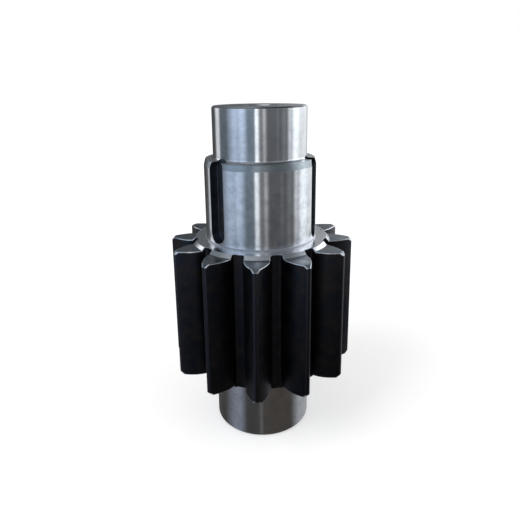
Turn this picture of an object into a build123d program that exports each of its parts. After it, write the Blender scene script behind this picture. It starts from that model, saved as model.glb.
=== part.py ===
"""Pinion shaft for a slow, heavily loaded gear drive, forged and turned in one piece.

A spur pinion of twelve large teeth stands between a lower bearing journal and an upper key land.
Three keyways cut the land, and a smaller journal rises from its flat shoulder.
The origin is the centre of the bottom face, Z runs up the shaft, and one keyway looks along +X.
All lengths are in millimetres and all angles in degrees.
"""

import os
from math import atan, cos, hypot, isclose, pi, radians, sin, sqrt, tan

from build123d import *

# Toothing
gear_module = 20.0
tooth_count = 12
pressure_angle = 20.0
profile_shift = 0.5  # in modules, outwards
tooth_addendum = 1.0  # in modules, above the shifted reference circle
tooth_dedendum = 1.25  # in modules, below the shifted reference circle
tooth_thinning = 0.3  # taken off each tooth at the reference circle, for backlash
face_width = 212.0
root_fillet = 5.0
tip_chamfer = 4.5  # at the outer corners of the teeth, both ends
tooth_edge_break = 1.0

# Raised rings, one at each end of the toothing
ring_overlap = 3.0  # how far the ring's rim stands out past the floors of the tooth spaces
ring_height = 5.0
ring_bevel = 5.0  # how far the ring widens towards the ends of the teeth

# Lower journal
lower_journal_diameter = 160.0
lower_journal_length = 107.0

# Key land, with a tapered lead-in below its shoulder
land_diameter = 180.0
land_length = 129.5
lead_in_length = 10.0
lead_in_angle = 15.0  # to the axis

# Upper journal
upper_journal_diameter = 150.0
upper_journal_length = 81.0
shoulder_fillet = 4.0

# Relief grooves in the corners where a turned wall meets a ring, cut into the wall and the ring's face
relief_width = 3.0  # up the wall, to where the groove runs out
relief_depth = 0.6
relief_face_width = 1.5  # over the ring's face, to where the groove runs out
relief_face_depth = 0.4

# Chamfers at the two ends
end_chamfer = 2.5

# Keyways, milled with an end mill of the key's width
keyway_count = 3
keyway_width = 32.0
keyway_depth = 16.0
keyway_foot_gap = 3.5  # from the ring's face up to the keyway's lower end
keyway_overrun = 0.5  # from the top of the shoulder's fillet up to the keyway's upper end
keyway_floor_fillet = 1.0

# Lathe centres in both ends: pilot drilling, cone for the centre point and guarding bevel
pilot_diameter = 20.0
pilot_length = 12.0
pilot_tip_angle = 118.0
centre_cone_diameter = 42.5
centre_cone_angle = 60.0
guard_diameter = 56.0
guard_angle = 120.0

# How far a cutting shape stands clear of the metal that it opens
cutter_clearance = 5.0
flank_point_count = 13

# Radii
lower_radius = lower_journal_diameter / 2
land_radius = land_diameter / 2
upper_radius = upper_journal_diameter / 2
reference_radius = gear_module * tooth_count / 2
base_radius = reference_radius * cos(radians(pressure_angle))
tip_radius = reference_radius + gear_module * (profile_shift + tooth_addendum)
root_radius = reference_radius + gear_module * (profile_shift - tooth_dedendum)
ring_radius = root_radius + ring_overlap
ring_foot_radius = ring_radius + ring_bevel
shoulder_radius = land_radius - lead_in_length * tan(radians(lead_in_angle))

# Heights above the bottom face
teeth_bottom_z = lower_journal_length + ring_height
teeth_top_z = teeth_bottom_z + face_width
ring_face_z = teeth_top_z + ring_height
land_top_z = ring_face_z + land_length
lead_in_z = land_top_z - lead_in_length
shaft_top_z = land_top_z + upper_journal_length


def involute(pressure: float) -> float:
    """The involute function, in radians: the tangent of an angle less the angle."""
    return tan(pressure) - pressure


def flank_point(roll: float) -> tuple[float, float]:
    """The flank's point where the tangent to the base circle has rolled by an angle in radians.

    The tooth space is centred on +X. Its half angle is half a pitch less half a tooth, and
    it opens with the involute of the pressure angle at the point's own radius.
    """
    radius = base_radius * sqrt(1 + roll**2)
    shifted_thickness = gear_module * (pi / 2 + 2 * profile_shift * tan(radians(pressure_angle)))
    half_tooth = (shifted_thickness - tooth_thinning) / (2 * reference_radius)
    opening = involute(atan(roll)) - involute(radians(pressure_angle))
    half_space = pi / tooth_count - half_tooth + opening
    return (radius * cos(half_space), radius * sin(half_space))


def circles(part: Part, radius: float, height: float) -> ShapeList:
    """The circular edges of a part that have one radius and lie at one height."""
    return (
        part.edges()
        .filter_by(GeomType.CIRCLE)
        .filter_by(lambda edge: isclose(edge.radius, radius, abs_tol=1e-3))
        .filter_by(lambda edge: isclose(edge.center().Z, height, abs_tol=1e-3))
    )


# The turned blank, from half of its section
with BuildPart() as pinion:
    with BuildSketch(Plane.XZ):
        with BuildLine():
            Polyline(
                (0, 0),
                (lower_radius, 0),
                (lower_radius, lower_journal_length - relief_width),
                (lower_radius - relief_depth, lower_journal_length + relief_face_depth),
                (lower_radius + relief_face_width, lower_journal_length),
                (ring_radius, lower_journal_length),
                (ring_foot_radius, teeth_bottom_z),
                (tip_radius, teeth_bottom_z),
                (tip_radius, teeth_top_z),
                (ring_foot_radius, teeth_top_z),
                (ring_radius, ring_face_z),
                (land_radius + relief_face_width, ring_face_z),
                (land_radius - relief_depth, ring_face_z - relief_face_depth),
                (land_radius, ring_face_z + relief_width),
                (land_radius, lead_in_z),
                (shoulder_radius, land_top_z),
                (upper_radius, land_top_z),
                (upper_radius, shaft_top_z),
                (0, shaft_top_z),
                close=True,
            )
        make_face()
    revolve(axis=Axis.Z)
    chamfer(circles(pinion.part, tip_radius, teeth_bottom_z), tip_chamfer)
    chamfer(circles(pinion.part, tip_radius, teeth_top_z), tip_chamfer)
    fillet(circles(pinion.part, upper_radius, land_top_z), shoulder_fillet)
    chamfer(circles(pinion.part, lower_radius, 0), end_chamfer)
    chamfer(circles(pinion.part, upper_radius, shaft_top_z), end_chamfer)

# One tooth space between two involute flanks, with a rounded foot at each side
outer_radius = tip_radius + cutter_clearance
outer_roll = sqrt((outer_radius / base_radius) ** 2 - 1)
rolls = [outer_roll * step / (flank_point_count - 1) for step in range(flank_point_count)]
with BuildPart() as tooth_space:
    with BuildSketch(Plane.XY.offset(lower_journal_length - cutter_clearance)) as space_outline:
        with BuildLine():
            flank = Spline(*[flank_point(roll) for roll in rolls])
            far_flank = mirror(flank, about=Plane.XZ)
            Line((0, 0), flank @ 0)
            Line((0, 0), far_flank @ 0)
            ThreePointArc(flank @ 1, (outer_radius, 0), far_flank @ 1)
        make_face()
        Circle(root_radius, mode=Mode.SUBTRACT)
        foot_corners = space_outline.vertices().filter_by(
            lambda corner: isclose(hypot(corner.X, corner.Y), root_radius, abs_tol=1e-3)
        )
        fillet(foot_corners, root_fillet)
    extrude(amount=ring_face_z - lower_journal_length + 2 * cutter_clearance)

with pinion:
    with PolarLocations(0, tooth_count):
        add(tooth_space.part, mode=Mode.SUBTRACT)
    # Each flank's edge along the teeth's ends, down the chamfers and along the tip
    flanks = pinion.faces().filter_by(GeomType.EXTRUSION)
    flank_edges = flanks.edges().filter_by(
        lambda edge: hypot(edge.center().X, edge.center().Y) > ring_foot_radius
    )
    chamfer(flank_edges, tooth_edge_break)

# One keyway with round ends, its floor square to +X
keyway_floor = land_radius - keyway_depth
keyway_bottom_z = ring_face_z + keyway_foot_gap
keyway_top_z = land_top_z + shoulder_fillet + keyway_overrun
with BuildPart() as keyway:
    with BuildSketch(Plane.YZ.offset(keyway_floor)):
        with Locations((0, (keyway_bottom_z + keyway_top_z) / 2)):
            SlotOverall(keyway_top_z - keyway_bottom_z, keyway_width, rotation=90)
    extrude(amount=keyway_depth + cutter_clearance)
    fillet(keyway.faces().sort_by(Axis.X)[0].edges(), keyway_floor_fillet)

with pinion:
    with PolarLocations(0, keyway_count):
        add(keyway.part, mode=Mode.SUBTRACT)

# One lathe centre, opening downwards at the bottom face
guard_depth = (guard_diameter - centre_cone_diameter) / 2 / tan(radians(guard_angle / 2))
cone_depth = guard_depth + (centre_cone_diameter - pilot_diameter) / 2 / tan(radians(centre_cone_angle / 2))
pilot_depth = cone_depth + pilot_length
pilot_tip_depth = pilot_depth + pilot_diameter / 2 / tan(radians(pilot_tip_angle / 2))
with BuildPart() as lathe_centre:
    with BuildSketch(Plane.XZ):
        with BuildLine():
            Polyline(
                (0, -cutter_clearance),
                (guard_diameter / 2, -cutter_clearance),
                (guard_diameter / 2, 0),
                (centre_cone_diameter / 2, guard_depth),
                (pilot_diameter / 2, cone_depth),
                (pilot_diameter / 2, pilot_depth),
                (0, pilot_tip_depth),
                close=True,
            )
        make_face()
    revolve(axis=Axis.Z)

with pinion:
    with Locations(Location((0, 0, 0)), Location((0, 0, shaft_top_z), (180, 0, 0))):
        add(lathe_centre.part, mode=Mode.SUBTRACT)

pinion.part.label = "pinion_gear"
os.makedirs("parts", exist_ok=True)
export_step(pinion.part, "parts/pinion_gear.step")
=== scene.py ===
"""Pinion shaft of a heavy gear drive, in bare steel, standing on a pale studio floor.

The forging is one closed skin. Turned surfaces make the two journals, the key land with its
keyways, the rings and the lathe centres, and involute flanks make the twelve teeth.
The shaft's sizes are in millimetres, and its finished skin is in metres. So are the studio and
the camera.
"""

import logging
import math
from dataclasses import dataclass, field
from enum import Enum, IntEnum

import bmesh
import bpy
import numpy as np
from mathutils import Matrix, Vector
from numpy.typing import NDArray


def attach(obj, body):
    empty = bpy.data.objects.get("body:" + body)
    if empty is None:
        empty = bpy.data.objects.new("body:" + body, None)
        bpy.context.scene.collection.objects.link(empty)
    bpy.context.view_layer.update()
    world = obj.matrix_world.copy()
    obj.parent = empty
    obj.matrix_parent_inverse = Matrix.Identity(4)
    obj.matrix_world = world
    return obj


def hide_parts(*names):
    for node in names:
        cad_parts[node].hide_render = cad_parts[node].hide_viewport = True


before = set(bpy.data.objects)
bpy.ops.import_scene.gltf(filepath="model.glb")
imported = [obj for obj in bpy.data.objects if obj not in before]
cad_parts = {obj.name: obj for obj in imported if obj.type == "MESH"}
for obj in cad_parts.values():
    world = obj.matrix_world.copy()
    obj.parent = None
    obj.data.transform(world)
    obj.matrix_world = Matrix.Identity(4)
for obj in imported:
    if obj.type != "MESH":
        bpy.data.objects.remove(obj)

Array = NDArray[np.float64]
Whole = NDArray[np.int64]
Colour = tuple[float, float, float]
Socket = bpy.types.NodeSocket
# What goes into a node's input: another node's output, a number or several numbers
Feed = Socket | float | tuple[float, ...]

MILLIMETRE = 0.001
FULL_TURN = 2 * math.pi
PHOTO_SIDE = 520
# Facets across a rounded edge, an even number
EDGE_STEPS = 4
# Numbers nearer than this count as equal
NEAR = 1e-6
log = logging.getLogger("pinion")


class Finish(Enum):
    """The kinds of steel surface on the shaft. Each is one material."""

    GROUND = "ground_steel"
    LEAD_IN = "turned_lead_in"
    GROOVE = "turned_groove"
    RING = "turned_ring"
    END = "turned_end_face"
    TOOTH_END = "milled_tooth_end"
    FLANK = "near_black_flank"
    TIP = "hardened_tip_edge"
    EDGE = "broken_edge"
    KEYWAY = "milled_keyway"


class Lay(Enum):
    """Which way the tool marks of a finish run."""

    HOOP = "round the shaft, on walls"
    FACE = "round the shaft, on flat faces"
    AXIAL = "along the shaft"


def placed(name: str, data: bpy.types.ID) -> bpy.types.Object:
    """Put a mesh, a lamp or a camera into the scene as a new object.

    Args:
        name: the object's name.
        data: the mesh, the lamp or the camera.

    Returns:
        The object.
    """
    piece = bpy.data.objects.new(name, data)
    bpy.context.scene.collection.objects.link(piece)
    return piece


# Surfaces


def grid_faces(rows: int, columns: int) -> Whole:
    """The faces of a grid, each from a point to its neighbours on the next row and column.

    Args:
        rows: how many rows of points the grid has.
        columns: how many points each row has.

    Returns:
        Four point numbers for each face, with the points numbered row by row.
    """
    number = np.arange(rows * columns).reshape(rows, columns)
    corners = (number[:-1, :-1], number[1:, :-1], number[1:, 1:], number[:-1, 1:])
    return np.stack(corners, axis=-1).reshape(-1, 4)


def polar(radius: Array | float, angle: Array | float, height: Array | float) -> Array:
    """Points whose X is the radius times the angle's cosine, Y the same with its sine, and Z the height."""
    radius, angle, height = np.broadcast_arrays(radius, angle, height)
    return np.stack([radius * np.cos(angle), radius * np.sin(angle), height], axis=-1)


def turned(points: Array, angles: Array) -> Array:
    """Copies of an array of points, turned about Z.

    Args:
        points: points with X, Y and Z along the last axis.
        angles: one angle for each copy, in radians.

    Returns:
        The copies, along a new first axis.
    """
    lead = (-1,) + (1,) * (points.ndim - 1)
    cos, sin = np.cos(angles).reshape(lead), np.sin(angles).reshape(lead)
    x, y, z = points[..., 0], points[..., 1], points[..., 2]
    return np.stack([x * cos - y * sin, x * sin + y * cos, np.broadcast_to(z, (x * cos).shape)], axis=-1)


def rounded_edge(inner: Array, corner: Array, outer: Array, steps: int = EDGE_STEPS) -> Array:
    """A strip that rounds off a corner line.

    Each cross section is the quadratic curve that leaves the inner point towards the corner
    and arrives at the outer point from the corner.

    Args:
        inner: points where the rounding starts.
        corner: points of the sharp corner.
        outer: points where the rounding ends.
        steps: how many facets the rounding has.

    Returns:
        A grid of points, with the steps along the second axis from the last.
    """
    t = np.linspace(0, 1, steps + 1)[:, None]
    inner, corner, outer = (part[..., None, :] for part in (inner, corner, outer))
    return (1 - t) ** 2 * inner + 2 * t * (1 - t) * corner + t**2 * outer


def smooth_corners(corners: list[tuple[float, float]], rounds: list[float], steps: int = EDGE_STEPS) -> Array:
    """A turned section whose corners are rounded off by quadratic curves.

    Args:
        corners: radius and height of each corner of the section.
        rounds: how far from each corner its rounding starts, 0 for a sharp one.
        steps: how many pieces each rounding has.

    Returns:
        Radius and height of the section's points, in order.
    """
    path = np.array(corners)
    pieces = [path[:1]]
    for before, corner, after, reach in zip(path[:-2], path[1:-1], path[2:], rounds[1:-1]):
        if reach == 0:
            pieces.append(corner[None])
            continue
        start = corner + (before - corner) / np.linalg.norm(before - corner) * reach
        end = corner + (after - corner) / np.linalg.norm(after - corner) * reach
        pieces.append(rounded_edge(start, corner, end, steps))
    pieces.append(path[-1:])
    return np.concatenate(pieces)


@dataclass
class Skin:
    """The closed skin of the forging, gathered patch by patch."""

    weld: float = 0.0005
    sharp_angle: float = math.radians(36.0)
    points: list[Array] = field(default_factory=list)
    faces: list[Whole] = field(default_factory=list)
    finishes: list[Whole] = field(default_factory=list)
    count: int = 0

    def add(self, points: Array, faces: Whole, finish: Finish) -> None:
        """Take in points and the faces between them.

        Args:
            points: the patch's points, one row each.
            faces: four point numbers for each face. A triangle names its last point twice.
            finish: the surface's finish.
        """
        self.points.append(points)
        self.faces.append(faces + self.count)
        self.finishes.append(np.full(len(faces), list(Finish).index(finish)))
        self.count += len(points)

    def grid(self, points: Array, finish: Finish) -> None:
        """Take in a grid of points, or many grids stacked along the first axes.

        The faces join each point to its neighbours along the last two grid axes.

        Args:
            points: points with X, Y and Z along the last axis.
            finish: the surface's finish.
        """
        rows, columns = points.shape[-3:-1]
        stacked = points.reshape(-1, rows * columns, 3)
        start = np.arange(len(stacked))[:, None, None] * (rows * columns)
        self.add(stacked.reshape(-1, 3), (grid_faces(rows, columns) + start).reshape(-1, 4), finish)

    def bridge(self, first: Array, second: Array, finish: Finish) -> None:
        """Join two level rings of points round the axis, whose points need not face each other.

        The points of both rings are sorted by angle, and each one closes a triangle with the
        point before it on its own ring and the latest point on the other ring.

        Args:
            first: points of one ring, in order of angle from +X.
            second: points of the other ring, in order of angle from +X.
            finish: the surface's finish.
        """
        angles = [np.mod(np.arctan2(ring[:, 1], ring[:, 0]), FULL_TURN) for ring in (first, second)]
        order = np.argsort(np.concatenate(angles), kind="stable")
        from_first = order < len(first)
        latest_first = (np.cumsum(from_first) - 1) % len(first)
        latest_second = (np.cumsum(~from_first) - 1) % len(second)
        own = np.where(from_first, latest_first, latest_second + len(first))
        before_first = (latest_first - 1) % len(first)
        before_second = (latest_second - 1) % len(second) + len(first)
        before = np.where(from_first, before_first, before_second)
        other = np.where(from_first, latest_second + len(first), latest_first)
        faces = np.stack([before, own, other, other], axis=-1)
        self.add(np.concatenate([first, second]), faces, finish)

    def welded(self) -> tuple[Array, Whole, Whole, Whole]:
        """Make points that lie together one point, and leave out the faces that vanish.

        Points are together when they round to the same cell of a grid as fine as the weld. A
        corner that repeats the one before it goes, and so does a face with fewer than three left.

        Returns:
            The points, the point number of each corner of each face in turn, the number of
            corners of each face, and the number of its finish.
        """
        points = np.concatenate(self.points)
        cells = np.round(points / self.weld).astype(np.int64)
        _, kept, merged = np.unique(cells, axis=0, return_index=True, return_inverse=True)
        faces = merged.reshape(-1)[np.concatenate(self.faces)]
        distinct = faces != np.roll(faces, 1, axis=1)
        sides = distinct.sum(axis=1)
        is_face = sides > 2
        finishes = np.concatenate(self.finishes)[is_face]
        return points[kept], faces[is_face][distinct[is_face]], sides[is_face], finishes

    def build(self, name: str) -> bpy.types.Object:
        """Weld the patches into one closed mesh with its faces outwards.

        Args:
            name: name of the object and its mesh.

        Returns:
            The mesh object, in metres, not yet dressed.
        """
        points, corners, sides, finishes = self.welded()
        mesh = bpy.data.meshes.new(name)
        mesh.vertices.add(len(points))
        mesh.vertices.foreach_set("co", (points * MILLIMETRE).astype(np.float32).ravel())
        mesh.loops.add(len(corners))
        mesh.loops.foreach_set("vertex_index", corners.astype(np.int32))
        mesh.polygons.add(len(sides))
        mesh.polygons.foreach_set("loop_start", (np.cumsum(sides) - sides).astype(np.int32))
        mesh.polygons.foreach_set("material_index", finishes.astype(np.int32))
        mesh.update(calc_edges=True)
        self.face_outwards(mesh)
        mesh.shade_smooth()
        mesh.set_sharp_from_angle(angle=self.sharp_angle)
        return placed(name, mesh)

    @staticmethod
    def face_outwards(mesh: bpy.types.Mesh) -> None:
        """Turn every face of a closed mesh outwards and report its open edges and its volume.

        Args:
            mesh: the mesh to change.
        """
        body = bmesh.new()
        body.from_mesh(mesh)
        bmesh.ops.recalc_face_normals(body, faces=body.faces)
        open_edges = sum(len(edge.link_faces) != 2 for edge in body.edges)
        volume = body.calc_volume()
        log.info("%s: %d faces, %d open edges, %.6f m3", mesh.name, len(body.faces), open_edges, volume)
        body.to_mesh(mesh)
        body.free()


# Forging


class RimLine(IntEnum):
    """The straight lines of a tooth's outline, from the ring's face to the middle of the tip."""

    RING_FACE = 0
    RING_BEVEL = 1
    TOOTH_END = 2
    TIP_CHAMFER = 3
    TIP = 4


# Where the rows of points stand on each line, as shares of its length
ROW_SHARES: dict[RimLine, Array] = {
    RimLine.RING_FACE: (np.arange(6) / 6) ** 2,
    RimLine.RING_BEVEL: np.array([0.2, 0.377, 0.6, 0.8]),
    RimLine.TOOTH_END: (np.arange(1, 12) / 12) ** 1.25,
    RimLine.TIP_CHAMFER: np.array([0.33, 0.66]),
    RimLine.TIP: np.array([0.12, 0.3, 0.5, 0.75, 1.0]),
}

# Which lines of the outline each finish of a tooth's top surface covers
TOOTH_ZONES: dict[Finish, tuple[RimLine, ...]] = {
    Finish.RING: (RimLine.RING_FACE, RimLine.RING_BEVEL),
    Finish.TOOTH_END: (RimLine.TOOTH_END, RimLine.TIP_CHAMFER),
    Finish.FLANK: (RimLine.TIP,),
}


@dataclass(frozen=True)
class Rim:
    """The outline of a tooth, with radius and height of its points.

    The edge is the sharp outline. The flank starts at the border and the tooth's top surface
    at the top, each a width away from the edge, and the broken edge lies between them. The
    line says which line of the outline each point is on.
    """

    edge: Array
    border: Array
    top: Array
    width: Array
    line: Whole


@dataclass
class Toothing:
    """Twelve involute teeth between two raised rings, with the edges of every tooth broken."""

    module: float = 20.0
    tooth_count: int = 12
    pressure_angle: float = math.radians(20.0)
    profile_shift: float = 0.5
    addendum: float = 1.0
    dedendum: float = 1.25
    thinning: float = 0.3
    root_fillet: float = 5.0
    tip_chamfer: float = 4.5
    bottom_z: float = 112.0
    top_z: float = 324.0
    ring_height: float = 5.0
    ring_overlap: float = 3.0
    ring_bevel: float = 5.0
    tooth_break: float = 1.35
    notch_break: float = 0.45
    crease_round: float = 0.6
    columns_across: int = 12
    columns_at_root: int = 6
    ring_rows: tuple[float, float] = (99.0, 102.0)

    def __post_init__(self) -> None:
        """Work out the radii that follow from the module and the tooth count."""
        self.reference = self.module * self.tooth_count / 2
        self.base = self.reference * math.cos(self.pressure_angle)
        self.tip = self.reference + self.module * (self.profile_shift + self.addendum)
        self.root = self.reference + self.module * (self.profile_shift - self.dedendum)
        self.pitch = FULL_TURN / self.tooth_count
        self.middle_z = (self.bottom_z + self.top_z) / 2
        self.ring_faces_z = (self.top_z + self.ring_height, self.bottom_z - self.ring_height)
        self.fillet_centre = self.root + self.root_fillet
        foot_angle = float(self.involute_half_space(np.array(self.base)))
        self.root_angle = foot_angle - math.asin(self.root_fillet / self.fillet_centre)

    def involute_half_space(self, radius: Array) -> Array:
        """Half the angle of a tooth space at a radius on the involute.

        It is half a pitch less half a tooth, and it opens with the involute function, the
        tangent of the pressure angle less the angle itself.

        Args:
            radius: radii of points on the flank.

        Returns:
            The half angles, in radians. Below the base circle the flank is radial.
        """
        pressure = np.arccos(self.base / np.maximum(radius, self.base))
        thickness = self.module * (math.pi / 2 + 2 * self.profile_shift * math.tan(self.pressure_angle))
        half_tooth = (thickness - self.thinning) / (2 * self.reference)
        start = math.tan(self.pressure_angle) - self.pressure_angle
        return self.pitch / 2 - half_tooth + np.tan(pressure) - pressure - start

    def half_space(self, radius: Array, inset: Array | float = 0.0) -> Array:
        """Half the angle of a tooth space, with its rounded foot, seen a little way inside the metal.

        On the foot the point lies on a circle about the fillet's centre, so the cosine rule gives
        its angle. Further out it is the flank's own angle plus the inset over the radius.

        Args:
            radius: radii of the points.
            inset: how far inside the metal the points lie.

        Returns:
            The half angles, in radians.
        """
        fillet = self.root_fillet + inset
        fillet_end = np.sqrt(self.fillet_centre**2 - self.root_fillet**2)
        cosine = (radius**2 + self.fillet_centre**2 - fillet**2) / (2 * radius * self.fillet_centre)
        on_foot = self.root_angle + np.arccos(np.clip(cosine, -1, 1))
        on_flank = self.involute_half_space(radius) + np.arcsin(inset / radius)
        return np.where(radius < fillet_end, np.minimum(on_foot, on_flank), on_flank)

    def rim_corners(self) -> tuple[Array, Array, Array]:
        """The corners of the upper half of a tooth's outline, and those of the flank's border.

        A corner of the border lies inside the metal by the mitre: the sum of the inward normals
        of the two lines that meet there, over one plus their dot product, times the width.

        Returns:
            Radius and height of the outline's corners, those of the border's, and the widths.
        """
        ring = self.root + self.ring_overlap
        corners = np.array(
            [
                (self.root, self.ring_faces_z[0]),
                (ring, self.ring_faces_z[0]),
                (ring + self.ring_bevel, self.top_z),
                (self.tip - self.tip_chamfer, self.top_z),
                (self.tip, self.top_z - self.tip_chamfer),
                (self.tip, self.middle_z),
            ]
        )
        widths = np.array([self.notch_break] * 2 + [self.tooth_break] * 4)
        lines = np.diff(corners, axis=0)
        lengths = np.linalg.norm(lines, axis=1)
        inward = np.stack([lines[:, 1], -lines[:, 0]], axis=1) / lengths[:, None]
        first, last = np.vstack([inward[:1], inward]), np.vstack([inward, inward[-1:]])
        mitre = (first + last) / (1 + (first * last).sum(axis=1, keepdims=True))
        return corners, corners + mitre * widths[:, None], widths

    def rim(self) -> Rim:
        """The upper half of a tooth's outline, from the ring over the tooth's end and down its tip.

        The outline is a chain of straight lines whose corners are rounded by quadratic curves.
        The border is a second chain inside the first, and their points pair up.

        Returns:
            The half outline, which ends at the middle plane.
        """
        corners, borders, widths = self.rim_corners()
        lines = np.diff(corners, axis=0)
        lengths = np.linalg.norm(lines, axis=1)
        edge, border, top, width, line = [], [], [], [], []
        half_crease = np.linspace(0, 1, EDGE_STEPS // 2 + 1)
        for number, share in ROW_SHARES.items():
            before = number - 1
            if number > RimLine.RING_FACE:
                start = corners[number] - lines[before] / lengths[before] * self.crease_round
                end = corners[number] + lines[number] / lengths[number] * self.crease_round
                crease = rounded_edge(start, corners[number], end)
                back = 1 - self.crease_round / lengths[before] * half_crease[:0:-1]
                ahead = self.crease_round / lengths[number] * half_crease
                edge.append(crease)
                top.append(crease)
                border += [self.between(borders, before, back), self.between(borders, number, ahead)]
                width += [self.between(widths, before, back), self.between(widths, number, ahead)]
                line += [before] * len(back) + [number] * len(ahead)
            edge.append(self.between(corners, number, share))
            border.append(self.between(borders, number, share))
            width.append(self.between(widths, number, share))
            inset = width[-1] * (1 - share) * (number == RimLine.RING_FACE)
            top.append(edge[-1] - inset[:, None] * (1, 0))
            line += [number] * len(share)
        return Rim(*(np.concatenate(part) for part in (edge, border, top, width)), np.array(line))

    @staticmethod
    def between(values: Array, number: int, share: Array) -> Array:
        """Values a share of the way along a line, from its own numbered corner to the next."""
        share = share.reshape((-1,) + (1,) * (values.ndim - 1))
        return values[number] * (1 - share) + values[number + 1] * share

    def round_trip(self, upper: Array) -> Array:
        """The upper half of an outline followed by its mirror image in the middle plane.

        Args:
            upper: a number, or a radius and height, for each point of the upper half.

        Returns:
            The same from the upper ring to the lower ring.
        """
        lower = upper[-2::-1]
        if upper.ndim == 2:
            lower = lower * (1, -1) + (0, 2 * self.middle_z)
        return np.concatenate([upper, lower])

    def floor_angles(self) -> Array:
        """Angles of the columns across the floor of the tooth space on +X."""
        return np.linspace(-self.root_angle, self.root_angle, self.columns_at_root + 1)

    def add_to(self, skin: Skin) -> tuple[Array, Array]:
        """Put the teeth, their spaces and the outer parts of the rings into the skin.

        Args:
            skin: the skin to add to.

        Returns:
            The innermost ring of points on the upper and the lower ring's face.
        """
        turns = np.arange(self.tooth_count) * self.pitch
        half = self.rim()
        halves = (half.edge, half.border, half.top, half.width, half.line)
        self.add_teeth(skin, Rim(*(self.round_trip(part) for part in halves)), turns)
        self.add_notches(skin, turns)
        self.add_spaces(skin, half, turns)
        return self.add_rings(skin, turns)

    def add_teeth(self, skin: Skin, rim: Rim, turns: Array) -> None:
        """Put the teeth's top surfaces and broken edges into the skin.

        A tooth's top surface has a row at each point of the outline, from flank to flank. On
        both sides of it a broken edge runs all the way from one ring to the other.

        Args:
            skin: the skin to add to.
            rim: the outline of a tooth, from the upper ring to the lower ring.
            turns: angles of the tooth spaces, in radians.
        """
        top_radius, top_z = rim.top.T
        top_angle = self.half_space(top_radius, rim.width)
        across = np.linspace(-1, 1, self.columns_across + 1)
        angles = self.pitch / 2 + across * (self.pitch / 2 - top_angle[:, None])
        tooth = polar(top_radius[:, None], angles, top_z[:, None])
        bands = np.minimum(rim.line[:-1], rim.line[1:])
        for finish, lines in TOOTH_ZONES.items():
            for row in np.flatnonzero(np.isin(bands, lines)):
                skin.grid(turned(tooth[row : row + 2], turns), finish)

        tip_bands = np.flatnonzero(bands == RimLine.TIP)
        for side in (-1, 1):
            strip = rounded_edge(
                polar(top_radius, side * top_angle, top_z),
                polar(rim.edge[:, 0], side * self.half_space(rim.edge[:, 0]), rim.edge[:, 1]),
                polar(rim.border[:, 0], side * self.half_space(rim.border[:, 0]), rim.border[:, 1]),
            )
            # The rounded edge down the tip takes the tip finish, whose lighter colour is a painted highlight.
            skin.grid(turned(strip[tip_bands[0] : tip_bands[-1] + 2], turns), Finish.TIP)
            for part in (strip[: tip_bands[0] + 1], strip[tip_bands[-1] + 1 :]):
                skin.grid(turned(part, turns), Finish.EDGE)

    def add_notches(self, skin: Skin, turns: Array) -> None:
        """Put the broken edges where the floors of the tooth spaces cut the rings into the skin.

        Args:
            skin: the skin to add to.
            turns: angles of the tooth spaces, in radians.
        """
        floor = self.floor_angles()
        for inwards, face_z in zip((-1, 1), self.ring_faces_z):
            strip = rounded_edge(
                polar(self.root - self.notch_break, floor, face_z),
                polar(self.root, floor, face_z),
                polar(self.root, floor, face_z + inwards * self.notch_break),
            )
            skin.grid(turned(strip, turns), Finish.EDGE)

    def add_spaces(self, skin: Skin, half: Rim, turns: Array) -> None:
        """Put the tooth spaces into the skin.

        A space has columns along its profile, from border to border, and rows at equal shares
        of each column's height, which is twice the column's height above the middle plane.

        Args:
            skin: the skin to add to.
            half: the upper half of a tooth's outline.
            turns: angles of the tooth spaces, in radians.
        """
        tip_row = int(np.flatnonzero(half.line == RimLine.TIP)[0])
        tip_z = half.border[tip_row:, 1]
        upper_share = (tip_z[0] - tip_z) / (tip_z[0] - self.middle_z) / 2
        share = np.concatenate([upper_share, 1 - upper_share[-2::-1]])
        flank_radius, flank_z = half.border[: tip_row + 1].T
        flank_angle = self.half_space(flank_radius)
        floor = self.floor_angles()[1:-1]
        radius = np.concatenate([flank_radius[::-1], np.full(len(floor), self.root), flank_radius])
        angle = np.concatenate([-flank_angle[::-1], floor, flank_angle])
        upper_z = np.concatenate([flank_z[::-1], np.full(len(floor), flank_z[0]), flank_z])
        drop = 2 * (upper_z - self.middle_z)
        space = polar(radius, angle, upper_z - share[:, None] * drop)
        skin.grid(turned(space, turns), Finish.FLANK)

    def add_rings(self, skin: Skin, turns: Array) -> tuple[Array, Array]:
        """Put the outer part of each ring's face into the skin.

        Args:
            skin: the skin to add to.
            turns: angles of the tooth spaces, in radians.

        Returns:
            The innermost ring of points on the upper and the lower face, by angle from +X.
        """
        tooth = np.linspace(self.root_angle, self.pitch - self.root_angle, self.columns_across + 1)
        columns = np.concatenate([self.floor_angles()[:-1], tooth[:-1]])
        angles = (columns + turns[:, None]).reshape(-1)
        closed = np.append(angles, angles[0] + FULL_TURN)
        radii = np.array([*self.ring_rows, self.root - self.notch_break])
        start = int(np.argmin(np.mod(angles, FULL_TURN)))
        inner = []
        for face_z in self.ring_faces_z:
            skin.grid(polar(radii[:, None], closed, face_z), Finish.RING)
            inner.append(np.roll(polar(radii[0], angles, face_z), -start, axis=0))
        return inner[0], inner[1]


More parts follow.
